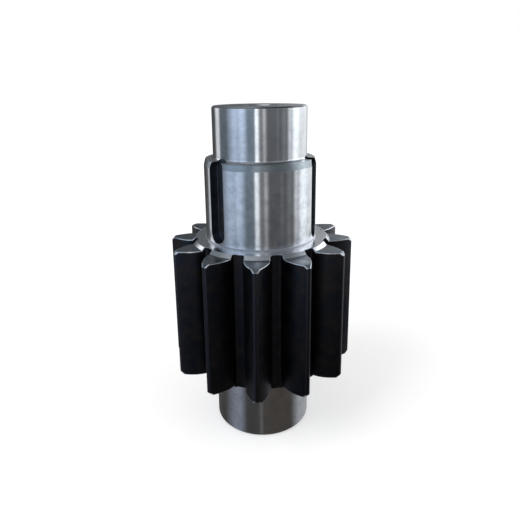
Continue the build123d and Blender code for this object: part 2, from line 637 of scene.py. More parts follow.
@dataclass
class LatheCentre:
    """The conical seat for a lathe's point in an end face."""

    pilot_diameter: float = 20.0
    pilot_length: float = 12.0
    pilot_tip_angle: float = math.radians(118.0)
    cone_diameter: float = 42.5
    cone_angle: float = math.radians(60.0)
    guard_diameter: float = 56.0
    guard_angle: float = math.radians(120.0)
    rim_round: float = 0.4

    def section(self, face_z: float, inwards: float) -> Array:
        """Radius and height of the seat's section, from its rim to the tip of its pilot hole.

        Args:
            face_z: height of the end face.
            inwards: 1 where the hole runs up from the face, -1 where it runs down.

        Returns:
            The section's points, in order.
        """
        guard = (self.guard_diameter - self.cone_diameter) / 2 / math.tan(self.guard_angle / 2)
        cone = guard + (self.cone_diameter - self.pilot_diameter) / 2 / math.tan(self.cone_angle / 2)
        pilot = cone + self.pilot_length
        tip = pilot + self.pilot_diameter / 2 / math.tan(self.pilot_tip_angle / 2)
        corners = [
            (self.guard_diameter / 2 + 2 * self.rim_round, 0.0),
            (self.guard_diameter / 2, 0.0),
            (self.cone_diameter / 2, guard),
            (self.pilot_diameter / 2, cone),
            (self.pilot_diameter / 2, pilot),
            (0.0, tip),
        ]
        section = smooth_corners(corners, [0, self.rim_round, self.rim_round, self.rim_round, 0, 0])
        return section * (1, inwards) + (0, face_z)


@dataclass(frozen=True)
class Relief:
    """The relief groove in the corner between a turned wall and the face of a ring."""

    width: float = 3.0
    depth: float = 0.6
    face_width: float = 1.5
    face_depth: float = 0.4
    rounds: tuple[float, ...] = (0.3, 0.3, 0.4)

    def corners(self, radius: float, face_z: float, way: int) -> list[tuple[float, float]]:
        """Radius and height of the groove's corners, from the ring's face to the wall.

        Args:
            radius: radius of the wall.
            face_z: height of the ring's face.
            way: 1 where the wall rises from the face, -1 where it hangs below.

        Returns:
            The three corners.
        """
        return [
            (radius + self.face_width, face_z),
            (radius - self.depth, face_z - way * self.face_depth),
            (radius, face_z + way * self.width),
        ]


@dataclass
class LowerJournal:
    """The lower bearing journal, from its end face up to the relief groove under the teeth."""

    radius: float = 80.0
    ring_face_z: float = 107.0
    face_row_radius: float = 86.0
    wall_rows: tuple[float, ...] = (70.0, 35.0)
    end_rows: tuple[float, float] = (60.0, 45.0)
    end_chamfer: float = 2.5
    chamfer_round: float = 0.5
    columns: int = 144
    relief: Relief = field(default_factory=Relief)
    centre: LatheCentre = field(default_factory=LatheCentre)

    def add_to(self, skin: Skin, ring: Array) -> None:
        """Put the journal, its end face and lathe centre into the skin.

        Args:
            skin: the skin to add to.
            ring: the ring of points on the lower ring's face to join on to.
        """
        angles = np.linspace(0, FULL_TURN, self.columns + 1)
        corners = [
            (self.face_row_radius, self.ring_face_z),
            *self.relief.corners(self.radius, self.ring_face_z, -1),
            *((self.radius, row) for row in self.wall_rows),
            (self.radius, self.end_chamfer),
            (self.radius - self.end_chamfer, 0.0),
            (self.end_rows[0], 0.0),
        ]
        plain = [0.0] * len(self.wall_rows)
        section = smooth_corners(corners, [0, *self.relief.rounds, *plain, *[self.chamfer_round] * 2, 0])
        is_wall = section[:, 1] <= self.ring_face_z - self.relief.width
        is_chamfer = section[:, 1] <= self.end_chamfer + self.chamfer_round
        wall, chamfer = int(np.argmax(is_wall)), int(np.argmax(is_chamfer))
        seat = self.centre.section(0.0, 1.0)
        parts = (
            (section[:2], Finish.RING),
            (section[1 : wall + 1], Finish.GROOVE),
            (section[wall : chamfer + 1], Finish.GROUND),
            (np.concatenate([section[chamfer:], [(self.end_rows[1], 0.0)], seat[:1]]), Finish.END),
            (seat, Finish.END),
        )
        for part, finish in parts:
            skin.grid(polar(part[:, 0, None], angles, part[:, 1, None]), finish)
        skin.bridge(ring, polar(self.face_row_radius, angles[:-1], self.ring_face_z), Finish.RING)


@dataclass
class Section:
    """A turned section, read by the distance along it."""

    points: Array
    least_climb: float = 1e-9

    def __post_init__(self) -> None:
        """Measure the distance along the section and its direction at each point."""
        steps = np.linalg.norm(np.diff(self.points, axis=0), axis=1)
        self.along = np.concatenate([[0.0], np.cumsum(steps)])
        slope = np.gradient(self.points, self.along, axis=0)
        self.slope = slope / np.linalg.norm(slope, axis=1, keepdims=True)

    def at(self, along: Array) -> Array:
        """Radius and height at distances along the section."""
        return np.stack([np.interp(along, self.along, part) for part in self.points.T], axis=-1)

    def direction(self, along: Array) -> Array:
        """The section's direction, in radius and height, at distances along it."""
        slope = np.stack([np.interp(along, self.along, part) for part in self.slope.T], axis=-1)
        return slope / np.linalg.norm(slope, axis=-1, keepdims=True)

    def first_at(self, height: Array | float) -> Array:
        """Distance at which the section first reaches a height, its level parts made to climb a little."""
        rising = np.maximum.accumulate(self.points[:, 1])
        return np.interp(height, rising + np.arange(len(rising)) * self.least_climb, self.along)


@dataclass(frozen=True)
class KeywaySide:
    """One side of a keyway from its lowest point to its highest, with a row for each point.

    The broken edge runs from the outer points over the corner to the side. The floor's fillet
    runs from the foot over the floor's corner to the floor. Along is the distance along the
    wall's section to the outer points, and flat numbers the points on the flat shoulder.
    """

    along: Array
    outer: Array
    corner: Array
    side: Array
    foot: Array
    floor_corner: Array
    floor: Array
    flat: Whole


@dataclass
class Keyway:
    """A keyway with round ends, looking along +X, that runs out just above the shoulder's fillet."""

    half_width: float = 16.0
    floor: float = 74.0
    bottom_z: float = 332.5
    top_z: float = 463.0
    edge_break: float = 0.8
    floor_fillet: float = 1.0
    full_depth: float = 3.5
    least_share: float = 0.3
    row_gap: float = 0.02
    round_rows: int = 15
    straight_rows: int = 9
    tip_rows: int = 6
    depth_steps: int = 2
    floor_columns: int = 8

    def rows(self, section: Section, creases: Array, flat: tuple[float, float]) -> tuple[Array, Array, Array]:
        """Where the rows of the keyway's side stand.

        On a round end a row is placed by its swing about the end's centre, whose sine times the
        half width is its height above the centre. On the straight sides the swing is 0.

        Args:
            section: the section of the turned wall.
            creases: heights on the wall, above the straight sides, that need a row of their own.
            flat: distances along the section where the flat shoulder starts and ends.

        Returns:
            The swings, the heights of the centres and the distances along the section.
        """
        lower_z, upper_z = self.bottom_z + self.half_width, self.top_z - self.half_width
        fall = np.radians(np.linspace(-90, 0, self.round_rows))
        straight = lower_z + np.linspace(0, 1, self.straight_rows)[1:-1] * (upper_z - lower_z)
        at_creases = np.arcsin((creases - upper_z) / self.half_width)

        # The section's own points from the last crease, over the shoulder and up its fillet
        start, end = section.first_at(creases[-1]) + self.row_gap, section.first_at(self.top_z)
        on_fillet = (section.points[:, 1] < self.top_z - NEAR) & (section.along < end)
        is_over = (section.along > start) & ((section.along <= flat[1] + NEAR) | on_fillet)
        over = section.along[is_over]
        swing_over = np.arcsin(np.clip((section.at(over)[:, 1] - upper_z) / self.half_width, -1, 1))
        tip = np.linspace(swing_over[-1], math.pi / 2, self.tip_rows)[1:]

        swing = np.concatenate([fall, np.zeros(len(straight) + 1), at_creases, swing_over, tip])
        centre = np.full(len(swing), upper_z)
        centre[: len(fall)] = lower_z
        centre[len(fall) : len(fall) + len(straight)] = straight
        along = section.first_at(centre + self.half_width * np.sin(swing))
        along[-len(tip) - len(over) : -len(tip)] = over
        return swing, centre, along

    def outline(self, section: Section, creases: Array, flat: tuple[float, float]) -> KeywaySide:
        """One side of the keyway, from its lowest point to its highest.

        The corner follows a slot with round ends over the turned wall. The broken edge starts on
        the wall and ends on the slot's side, each a break's width from the corner, and the break
        narrows where the keyway is shallow.

        Args:
            section: the section of the turned wall.
            creases: heights on the wall, above the straight sides, that need a row of their own.
            flat: distances along the section where the flat shoulder starts and ends.

        Returns:
            The side's points.
        """
        swing, centre, along = self.rows(section, creases, flat)
        sin, cos = np.sin(swing), np.cos(swing)
        cos[np.abs(cos) < NEAR] = 0.0
        is_flat = (along >= flat[0] - NEAR) & (along <= flat[1] + NEAR)
        radius, height = section.at(along).T
        outward, climb = section.direction(along).T
        outward, climb = np.where(is_flat, -1.0, outward), np.where(is_flat, 0.0, climb)

        # The corner, and how wide its break and the floor's fillet are there
        corner_x = self.half_width * cos
        corner_y = np.sqrt(radius**2 - corner_x**2)
        share = np.clip((corner_y - self.floor) / self.full_depth, self.least_share, 1.0)
        width, fillet = self.edge_break * share, self.floor_fillet * share

        # The break's border on the wall, square to the corner, and its border on the slot's side
        spread = np.sqrt(cos**2 + (sin * climb) ** 2)
        outer_along = along + width * sin * climb / spread
        outer_radius, outer_z = section.at(outer_along).T
        outer_x = corner_x + width * cos / spread
        swing_in = swing + width * outward / self.half_width
        sin_in, cos_in = np.sin(swing_in), np.where(cos == 0, 0.0, np.cos(swing_in))
        side_x, side_z = self.half_width * cos_in, centre + self.half_width * sin_in
        inner = self.half_width - fillet
        floor = np.full(len(swing), self.floor)
        return KeywaySide(
            along=outer_along,
            outer=np.stack([np.sqrt(outer_radius**2 - outer_x**2), outer_x, outer_z], axis=-1),
            corner=np.stack([corner_y, corner_x, height], axis=-1),
            side=np.stack([corner_y - width * climb, side_x, side_z], axis=-1),
            foot=np.stack([floor + fillet, side_x, side_z], axis=-1),
            floor_corner=np.stack([floor, side_x, side_z], axis=-1),
            floor=np.stack([floor, inner * cos_in, centre + inner * sin_in], axis=-1),
            flat=np.flatnonzero(is_flat),
        )

    def add_to(self, skin: Skin, outline: KeywaySide, turns: Array) -> None:
        """Put the keyways' broken edges, walls and floors into the skin.

        Below the shoulder each wall has columns at the depths of the outline's points on the flat
        shoulder, so that the wall's last row is the line of the keyway across the flat.

        Args:
            skin: the skin to add to.
            outline: one side of a keyway, mirrored for the other.
            turns: angles at which the keyways stand, in radians.
        """
        start, end = int(outline.flat[0]), int(outline.flat[-1])
        side, foot = outline.side, outline.foot
        edge = rounded_edge(outline.outer, outline.corner, side)
        fillet = rounded_edge(foot, outline.floor_corner, outline.floor)

        # The wall below the shoulder, out of and into the depth, and the wall above it
        depth = side[start : end + 1, 0]
        share = (depth - depth[0]) / (depth[-1] - depth[0])
        low = side[: start + 1]
        near = low[:, None, :] + (depth[-1] - low[:, None, 0:1]) * share[:, None] * np.array([1.0, 0.0, 0.0])
        down = np.linspace(0, 1, self.depth_steps + 1)[:, None]
        deep = near[:, -1:, :] * (1 - down) + foot[: start + 1, None, :] * down
        above = side[end:, None, :] * (1 - down) + foot[end:, None, :] * down

        # The floor, with every row but those that the flat shoulder adds
        kept = np.r_[0 : start + 1, end + 1 : len(side)]
        across = np.linspace(-1, 1, self.floor_columns + 1)[:, None]
        level = outline.floor[kept][:, None, :]
        floor = level * np.array([1.0, 0.0, 1.0]) + across * level * np.array([0.0, 1.0, 0.0])
        for way in (-1.0, 1.0):
            mirror = np.array([1.0, way, 1.0])
            skin.grid(turned(edge * mirror, turns), Finish.EDGE)
            for wall in (near, deep, above, fillet[kept]):
                skin.grid(turned(wall * mirror, turns), Finish.KEYWAY)
        skin.grid(turned(floor, turns), Finish.KEYWAY)


@dataclass(frozen=True)
class Marks:
    """Distances along the upper shaft's section at which its finish changes."""

    groove: float
    land: float
    lead_in: float
    shoulder: float
    toe: float
    end: float


@dataclass
class KeyLand:
    """The key land, its lead-in and shoulder, and the smaller journal above."""

    radius: float = 90.0
    journal_radius: float = 75.0
    ring_face_z: float = 329.0
    shoulder_z: float = 458.5
    top_z: float = 539.5
    lead_in_length: float = 10.0
    lead_in_angle: float = math.radians(15.0)
    lead_in_round: float = 0.8
    lead_in_rows: int = 7
    lead_in_margins: tuple[float, float] = (2.0, 1.0)
    shoulder_fillet: float = 4.0
    shoulder_round: float = 0.7
    shoulder_rows: tuple[float, ...] = (2.5, 5.0)
    fillet_facets: int = 8
    wall_facets: int = 6
    face_row_radius: float = 95.0
    journal_rows: tuple[float, ...] = (464.0, 475.0, 495.0, 515.0)
    end_rows: tuple[float, ...] = (60.0, 45.0)
    end_chamfer: float = 2.5
    chamfer_round: float = 0.5
    row_gaps: tuple[float, float] = (0.05, 0.3)
    key_count: int = 3
    window: float = math.radians(17.0)
    window_columns: int = 8
    plain_columns: int = 36
    relief: Relief = field(default_factory=Relief)
    keyway: Keyway = field(default_factory=Keyway)
    centre: LatheCentre = field(default_factory=LatheCentre)

    def __post_init__(self) -> None:
        """Work out the shoulder's rim and where the lead-in starts."""
        self.shoulder = self.radius - self.lead_in_length * math.tan(self.lead_in_angle)
        self.lead_in_z = self.shoulder_z - self.lead_in_length

    def section(self) -> Section:
        """The section of the land and the journal, from the ring's face to the tip of the centre.

        The shoulder's fillet is a quarter circle, and the other corners are rounded by quadratic
        curves.

        Returns:
            The section.
        """
        journal, toe = self.journal_radius, self.journal_radius + self.shoulder_fillet
        plain = [0.0] * len(self.shoulder_rows)
        wall = smooth_corners(
            [
                (self.face_row_radius, self.ring_face_z),
                *self.relief.corners(self.radius, self.ring_face_z, 1),
                (self.radius, self.lead_in_z),
                (self.shoulder, self.shoulder_z),
                *((self.shoulder - row, self.shoulder_z) for row in self.shoulder_rows),
                (toe, self.shoulder_z),
            ],
            [0, *self.relief.rounds, self.lead_in_round, self.shoulder_round, *plain, 0],
            self.wall_facets,
        )
        sweep = np.radians(np.linspace(0, 90, self.fillet_facets + 1))[1:]
        fillet_z = self.shoulder_z + self.shoulder_fillet
        fillet_radius = toe - self.shoulder_fillet * np.sin(sweep)
        fillet = np.stack([fillet_radius, fillet_z - self.shoulder_fillet * np.cos(sweep)], axis=-1)
        seat = self.centre.section(self.top_z, -1.0)
        plain = [0.0] * len(self.journal_rows)
        end = smooth_corners(
            [
                (journal, fillet_z),
                *((journal, row) for row in self.journal_rows),
                (journal, self.top_z - self.end_chamfer),
                (journal - self.end_chamfer, self.top_z),
                *((row, self.top_z) for row in self.end_rows),
                tuple(seat[0]),
            ],
            [0, *plain, self.chamfer_round, self.chamfer_round, *[0] * len(self.end_rows), 0],
        )
        return Section(np.concatenate([wall, fillet, end[1:], seat[1:]]))

    def marks(self, section: Section) -> Marks:
        """Where the finish changes along the section.

        Args:
            section: the section of the land and the journal.

        Returns:
            The distances along the section.
        """
        radius, height = section.points.T
        flat = section.along[(np.abs(height - self.shoulder_z) < NEAR) & (radius < self.shoulder)]
        return Marks(
            groove=float(section.along[1]),
            land=float(section.first_at(self.ring_face_z + self.relief.width)),
            lead_in=float(section.first_at(self.lead_in_z)),
            shoulder=float(flat[0]),
            toe=float(flat[-1]),
            end=float(section.first_at(self.top_z - self.end_chamfer)),
        )

    def add_to(self, skin: Skin, ring: Array) -> None:
        """Put the land, the shoulder, the journal, the end face and the keyways into the skin.

        Between two keyways the wall is a sheet whose outer columns follow the keyways' sides.

        Args:
            skin: the skin to add to.
            ring: the ring of points on the upper ring's face to join on to.
        """
        section = self.section()
        marks = self.marks(section)
        crease = np.linspace(-self.lead_in_round, self.lead_in_round, EDGE_STEPS + 1)
        low, high = self.lead_in_z + self.lead_in_margins[0], self.shoulder_z - self.lead_in_margins[1]
        lead_in = np.linspace(low, high, self.lead_in_rows)
        creases = np.concatenate([self.lead_in_z + crease, lead_in])
        outline = self.keyway.outline(section, creases, (marks.shoulder, marks.toe))
        sector = FULL_TURN / self.key_count
        turns = np.arange(self.key_count) * sector
        self.keyway.add_to(skin, outline, turns)

        # Rows of the sheet: the section's own below and above the keyway, the outline's between
        below = section.along[section.along < outline.along[0] - self.row_gaps[0]]
        above = section.along[section.along > outline.along[-1] + self.row_gaps[1]]
        along = np.concatenate([below, outline.along, above])
        radius, height = section.at(along).T
        opening = np.zeros(len(along))
        beside = slice(len(below), len(below) + len(outline.along))
        opening[beside] = np.arcsin(outline.outer[:, 1] / radius[beside])
        share = np.linspace(0, 1, self.window_columns + 1)
        near = opening[:, None] * (1 - share) + self.window * share
        plain = np.linspace(self.window, sector - self.window, self.plain_columns + 1)[1:-1]
        middle = np.broadcast_to(plain, (len(along), len(plain)))
        angles = np.concatenate([near, middle, sector - near[:, ::-1]], axis=1)
        sheet = polar(radius[:, None], angles, height[:, None])
        zones = (
            (Finish.RING, -1.0, marks.groove),
            (Finish.GROOVE, marks.groove, marks.land),
            (Finish.GROUND, marks.land, marks.lead_in),
            (Finish.LEAD_IN, marks.lead_in, marks.shoulder),
            (Finish.RING, marks.shoulder, marks.toe),
            (Finish.GROUND, marks.toe, marks.end),
            (Finish.END, marks.end, math.inf),
        )
        halfway = (along[1:] + along[:-1]) / 2
        for finish, first, last in zones:
            bands = np.flatnonzero((halfway > first) & (halfway <= last))
            stacked = np.stack([sheet[bands], sheet[bands + 1]], axis=1)
            skin.grid(turned(stacked, turns), finish)
        start = turned(sheet[0, :-1], turns).reshape(-1, 3)
        skin.bridge(ring, start, Finish.RING)


@dataclass
class PinionShaft:
    """The whole forging."""

    toothing: Toothing = field(default_factory=Toothing)
    lower_journal: LowerJournal = field(default_factory=LowerJournal)
    key_land: KeyLand = field(default_factory=KeyLand)
    normal_weight: int = 90

    def build(self) -> bpy.types.Object:
        """Make the closed skin and dress it.

        Returns:
            The finished piece.
        """
        skin = Skin()
        upper_ring, lower_ring = self.toothing.add_to(skin)
        self.lower_journal.add_to(skin, lower_ring)
        self.key_land.add_to(skin, upper_ring)
        piece = skin.build("pinion_shaft")
        for finish in Finish:
            piece.data.materials.append(FINISHES[finish].material(finish.value))
        normals = piece.modifiers.new("even_shading", "WEIGHTED_NORMAL")
        normals.weight = self.normal_weight
        normals.keep_sharp = True
        return piece


# Finishes


@dataclass(frozen=True)
class Pattern:
    """A noise pattern, with the part of its range that shows."""

    scale: float
    detail: float
    roughness: float
    low: float
    high: float


MARKS = Pattern(1.0, 2.0, 0.6, 0.25, 0.75)
CLOUDS = Pattern(55.0, 5.0, 0.62, 0.42, 0.68)
SPECKS = Pattern(420.0, 2.0, 0.5, 0.3, 0.7)


@dataclass
class Nodes:
    """A material's node tree, with short ways to add and join its nodes."""

    tree: bpy.types.NodeTree

    def add(self, kind: str, **settings: str) -> bpy.types.Node:
        """Add a node and set its properties.

        Args:
            kind: the node's type name.
            settings: the properties to set on it.

        Returns:
            The new node.
        """
        node = self.tree.nodes.new(kind)
        for name, value in settings.items():
            setattr(node, name, value)
        return node

    def feed(self, socket: Socket, value: Feed) -> None:
        """Join an output to an input, or set the input's own number.

        Args:
            socket: the input.
            value: an output socket, a number or several numbers.
        """
        if isinstance(value, Socket):
            self.tree.links.new(value, socket)
        else:
            socket.default_value = value

    def math(self, operation: str, *values: Feed) -> Socket:
        """The result of an arithmetic node.

        Args:
            operation: the operation's name.
            values: its inputs.

        Returns:
            The result's socket.
        """
        node = self.add("ShaderNodeMath", operation=operation)
        for socket, value in zip(node.inputs, values):
            self.feed(socket, value)
        return node.outputs[0]

    def spread(self, value: Feed, low: float, high: float, start: float, end: float) -> Socket:
        """A value carried from one range to another, and held inside the second.

        Args:
            value: the value's socket.
            low: where the first range starts.
            high: where the first range ends.
            start: where the second range starts.
            end: where the second range ends.

        Returns:
            The result's socket.
        """
        node = self.add("ShaderNodeMapRange")
        for socket, number in zip(node.inputs, (value, low, high, start, end)):
            self.feed(socket, number)
        return node.outputs[0]

    def mix(self, share: Feed, first: Feed, second: Feed) -> Socket:
        """A colour between two others.

        Args:
            share: how much of the second colour there is.
            first: the first colour.
            second: the second colour.

        Returns:
            The colour's socket.
        """
        node = self.add("ShaderNodeMix", data_type="RGBA")
        self.feed(node.inputs[0], share)
        for socket, colour in ((node.inputs[6], first), (node.inputs[7], second)):
            self.feed(socket, (*colour, 1.0) if isinstance(colour, tuple) else colour)
        return node.outputs[2]

    def noise(self, vector: Feed, pattern: Pattern) -> Socket:
        """A noise pattern, from 0 to 1.

        Args:
            vector: the place at which it is read.
            pattern: its scale and layers.

        Returns:
            The pattern's socket.
        """
        node = self.add("ShaderNodeTexNoise")
        self.feed(node.inputs["Vector"], vector)
        node.inputs["Scale"].default_value = pattern.scale
        node.inputs["Detail"].default_value = pattern.detail
        node.inputs["Roughness"].default_value = pattern.roughness
        return node.outputs[0]

    def combine(self, *parts: Feed) -> Socket:
        """A vector from its three parts.

        Args:
            parts: X, Y and Z, each a socket or a number.

        Returns:
            The vector's socket.
        """
        node = self.add("ShaderNodeCombineXYZ")
        for socket, value in zip(node.inputs, parts):
            self.feed(socket, value)
        return node.outputs[0]


def new_material(name: str) -> tuple[bpy.types.Material, Nodes]:
    """Make a material with nodes.

    Args:
        name: the material's name.

    Returns:
        The material and its node tree.
    """
    material = bpy.data.materials.new(name)
    material.use_nodes = True
    return material, Nodes(material.node_tree)


@dataclass(frozen=True)
class Steel:
    """A steel surface with tool marks, cloudy stains and fine specks.

    The pitch of the marks is in millimetres, and the bump's distance is in metres. The scale
    along is that of the marks' noise along their length. The other numbers are shares and strengths.
    """

    colour: Colour
    stain: Colour
    roughness: float
    lay: Lay
    mark_pitch: float = 0.7
    mark_bump: float = 0.15
    mark_contrast: float = 0.12
    stain_share: float = 0.35
    roughness_swing: float = 0.06
    anisotropy: float = 0.0
    grain: float = 0.08
    dark: Colour = (0.02, 0.02, 0.022)
    scale_along: float = 9.0
    cloud_share: float = 2.5
    speck_share: float = 0.25
    bump_distance: float = 0.0001
    least_roughness: float = 0.05

    def marks_at(self, tree: Nodes, place: tuple[Socket, ...]) -> Socket:
        """The place at which the marks' noise is read.

        It moves fast across the marks and slowly along them. On walls it moves fast with the
        height, on flat faces with the distance from the axis, and along the shaft with X and Y.

        Args:
            tree: the material's node tree.
            place: X, Y and Z of the point on the surface.

        Returns:
            The place's socket.
        """
        x, y, z = place
        slow, fast = self.scale_along, 1 / (self.mark_pitch * MILLIMETRE)
        if self.lay is Lay.HOOP:
            scales = ((x, slow), (y, slow), (z, fast))
        elif self.lay is Lay.FACE:
            squares = tree.math("ADD", tree.math("MULTIPLY", x, x), tree.math("MULTIPLY", y, y))
            scales = ((x, slow), (y, slow), (tree.math("SQRT", squares), fast))
        else:
            scales = ((x, fast), (y, fast), (z, slow))
        return tree.combine(*(tree.math("MULTIPLY", part, scale) for part, scale in scales))

    def across(self, tree: Nodes, place: tuple[Socket, ...]) -> Socket:
        """The direction across the marks, in which the steel spreads its highlights.

        It is upright on walls and radial on flat faces. Where the marks run along the shaft it
        is level, a quarter turn from the radial direction.

        Args:
            tree: the material's node tree.
            place: X, Y and Z of the point on the surface.

        Returns:
            The direction's socket.
        """
        x, y, _ = place
        if self.lay is Lay.HOOP:
            return tree.combine(0.0, 0.0, 1.0)
        if self.lay is Lay.FACE:
            return tree.combine(x, y, 0.0)
        return tree.combine(tree.math("MULTIPLY", y, -1.0), x, 0.0)

    def material(self, name: str) -> bpy.types.Material:
        """Make the material.

        The clouds carry the colour towards the stain, and the marks and specks darken it. The
        roughness is the finish's own, swung by clouds and marks. Marks and specks make the bump.

        Args:
            name: the material's name.

        Returns:
            The material.
        """
        material, tree = new_material(name)
        shader = tree.tree.nodes["Principled BSDF"]
        shader.inputs["Metallic"].default_value = 1.0
        point = tree.add("ShaderNodeTexCoord").outputs["Object"]
        split = tree.add("ShaderNodeSeparateXYZ")
        tree.feed(split.inputs[0], point)
        place = tuple(split.outputs)
        marks = tree.noise(self.marks_at(tree, place), MARKS)
        clouds, specks = tree.noise(point, CLOUDS), tree.noise(point, SPECKS)

        stained = tree.spread(clouds, CLOUDS.low, CLOUDS.high, 0.0, self.stain_share)
        colour = tree.mix(stained, self.colour, self.stain)
        lines = tree.spread(marks, MARKS.low, MARKS.high, self.mark_contrast, 0.0)
        dots = tree.spread(specks, SPECKS.low, SPECKS.high, self.grain, 0.0)
        tree.feed(shader.inputs["Base Color"], tree.mix(tree.math("ADD", lines, dots), colour, self.dark))

        cloud_swing = self.roughness_swing * self.cloud_share
        swing = tree.math("MULTIPLY", tree.math("SUBTRACT", clouds, 0.5), cloud_swing)
        ripple = tree.math("MULTIPLY", tree.math("SUBTRACT", marks, 0.5), self.roughness_swing)
        rough = tree.math("ADD", tree.math("ADD", swing, ripple), self.roughness)
        limits = (self.least_roughness, 1.0)
        tree.feed(shader.inputs["Roughness"], tree.spread(rough, *limits, *limits))

        bump = tree.add("ShaderNodeBump")
        bump.inputs["Strength"].default_value = self.mark_bump
        bump.inputs["Distance"].default_value = self.bump_distance
        height = tree.math("ADD", marks, tree.math("MULTIPLY", specks, self.speck_share))
        tree.feed(bump.inputs["Height"], height)
        tree.feed(shader.inputs["Normal"], bump.outputs[0])
        if self.anisotropy:
            shader.inputs["Anisotropic"].default_value = self.anisotropy
            tree.feed(shader.inputs["Tangent"], self.across(tree, place))
        return material


FINISHES: dict[Finish, Steel] = {
    Finish.GROUND: Steel(
        colour=(0.6, 0.61, 0.63),
        stain=(0.4, 0.41, 0.44),
        roughness=0.185,
        lay=Lay.HOOP,
        mark_pitch=1.1,
        mark_bump=0.08,
        mark_contrast=0.05,
        stain_share=0.6,
        anisotropy=0.95,
    ),
    Finish.LEAD_IN: Steel(
        colour=(0.28, 0.315, 0.335),
        stain=(0.22, 0.25, 0.275),
        roughness=0.36,
        lay=Lay.HOOP,
        mark_pitch=0.5,
        mark_bump=0.3,
        mark_contrast=0.2,
        anisotropy=0.5,
    ),
    Finish.GROOVE: Steel(
        colour=(0.76, 0.78, 0.82),
        stain=(0.66, 0.68, 0.72),
        roughness=0.34,
        lay=Lay.HOOP,
        mark_pitch=0.5,
        mark_bump=0.3,
        mark_contrast=0.2,
    ),
    Finish.RING: Steel(
        colour=(0.7, 0.725, 0.76),
        stain=(0.56, 0.58, 0.62),
        roughness=0.24,
        lay=Lay.FACE,
        mark_pitch=0.6,
        mark_bump=0.2,
        mark_contrast=0.15,
        anisotropy=0.6,
    ),
    Finish.END: Steel(
        colour=(0.33, 0.34, 0.365),
        stain=(0.24, 0.25, 0.275),
        roughness=0.24,
        lay=Lay.FACE,
        mark_pitch=0.8,
        mark_bump=0.3,
        mark_contrast=0.2,
        anisotropy=0.5,
    ),
    Finish.TOOTH_END: Steel(
        colour=(0.235, 0.26, 0.285),
        stain=(0.115, 0.14, 0.165),
        roughness=0.34,
        lay=Lay.FACE,
        mark_pitch=1.2,
        mark_bump=0.3,
        mark_contrast=0.25,
        stain_share=0.8,
        roughness_swing=0.1,
    ),
    # Near black all over.
    Finish.FLANK: Steel(
        colour=(0.03, 0.034, 0.047),
        stain=(0.062, 0.049, 0.041),
        roughness=0.42,
        lay=Lay.AXIAL,
        mark_pitch=1.4,
        mark_bump=0.25,
        mark_contrast=0.45,
        stain_share=0.8,
        roughness_swing=0.16,
    ),
    # A little lighter than the near-black flank. This is a painted highlight along the tips' rounded edges,
    # which also catch some real light.
    Finish.TIP: Steel(
        colour=(0.06, 0.066, 0.084),
        stain=(0.045, 0.044, 0.048),
        roughness=0.42,
        lay=Lay.AXIAL,
        mark_pitch=1.2,
        mark_bump=0.2,
        mark_contrast=0.3,
        stain_share=0.6,
        roughness_swing=0.1,
    ),
    Finish.EDGE: Steel(
        colour=(0.62, 0.64, 0.68),
        stain=(0.46, 0.48, 0.52),
        roughness=0.26,
        lay=Lay.AXIAL,
        mark_pitch=0.8,
        mark_bump=0.15,
        mark_contrast=0.15,
        stain_share=0.5,
    ),
    Finish.KEYWAY: Steel(
        colour=(0.15, 0.17, 0.2),
        stain=(0.08, 0.08, 0.085),
        roughness=0.42,
        lay=Lay.AXIAL,
        mark_pitch=1.0,
        mark_bump=0.3,
        mark_contrast=0.45,
        stain_share=0.8,
        roughness_swing=0.12,
    ),
}


# Studio


# The whole degrees round the shaft at which the panels' colours are worked out, and the same
# turns counted from -180 to 180
PANEL_ANGLES = np.arange(0, 361, 1.0)
PANEL_SIDES = (PANEL_ANGLES + 180) % 360 - 180


@dataclass(frozen=True)
class Panel:
    """An upright strip of the studio's wall, by the turn from the camera's side to its edges."""

    start: float
    end: float
    colour: Colour
    strength: float


@dataclass(frozen=True)
class Lamp:
    """A square soft lamp, by its turn from the camera's side, its distance and its height."""

    name: str
    turn: float
    away: float
    height: float
    power: float
    side: float


